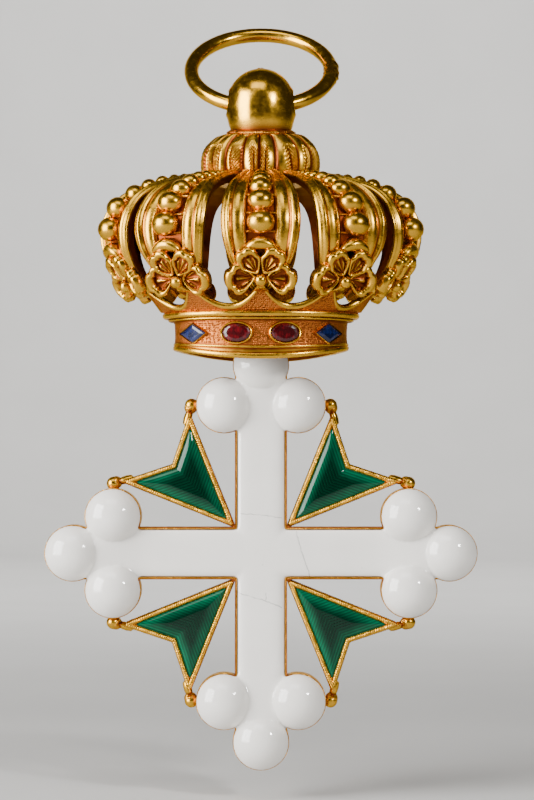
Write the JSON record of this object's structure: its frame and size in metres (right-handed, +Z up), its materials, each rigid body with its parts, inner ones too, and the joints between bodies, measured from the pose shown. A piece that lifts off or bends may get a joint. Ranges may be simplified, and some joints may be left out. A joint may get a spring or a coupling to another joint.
{
  "type": "grand cross order badge",
  "caption": "Enamelled cross badge of white trefoil-ended arms over green forked arms, hinged below a gold crown with an orb and a sash ring.",
  "frame": {"origin": "where the sash bears on the inside of the ring, at the point farthest from the orb", "axes": "+Z up along the hanging badge, +X to the viewer's right, the front faces -Y"},
  "size_m": [0.0646, 0.0375, 0.1139],
  "materials": {
    "gold_polished": "polished",
    "gold_chased": "polished relief with matt recesses",
    "gold_plain": "satin",
    "gold_frame": "milled and polished",
    "white_enamel": "glossy opaque enamel",
    "green_enamel": "glossy translucent enamel",
    "red_stone": "cut and polished",
    "blue_stone": "cut and polished"
  },
  "bodies": {
    "ring": {"suspension_ring": "gold_polished"},
    "crown": {"orb": "gold_polished", "orb_collar": "gold_chased", "arch_1": "gold_chased", "arch_2": "gold_chased", "arch_3": "gold_chased", "arch_4": "gold_chased", "arch_5": "gold_chased", "arch_6": "gold_chased", "arch_7": "gold_chased", "arch_8": "gold_chased", "arch_9": "gold_chased", "arch_10": "gold_chased", "circlet": "gold_chased", "hinge_bar": "gold_plain", "red_stone_1": "red_stone", "red_stone_2": "red_stone", "red_stone_3": "red_stone", "red_stone_4": "red_stone", "blue_stone_1": "blue_stone", "blue_stone_2": "blue_stone", "blue_stone_3": "blue_stone", "blue_stone_4": "blue_stone"},
    "cross": {"cross_frame": "gold_frame", "white_enamel_front": "white_enamel", "white_enamel_back": "white_enamel", "green_enamel_front_1": "green_enamel", "green_enamel_front_2": "green_enamel", "green_enamel_front_3": "green_enamel", "green_enamel_front_4": "green_enamel", "green_enamel_back_1": "green_enamel", "green_enamel_back_2": "green_enamel", "green_enamel_back_3": "green_enamel", "green_enamel_back_4": "green_enamel"}
  },
  "joints": [
    {"name": "crown_swing", "type": "hinge", "parent": "ring", "child": "crown", "pos_m": [0, -0.01455, -0.01221], "axis": [1, 0, 0], "range_deg": [-170, 70]},
    {"name": "cross_swing", "type": "hinge", "parent": "crown", "child": "cross", "pos_m": [0, -0.01455, -0.04626], "axis": [1, 0, 0], "range_deg": [-36, 36]}
  ]
}
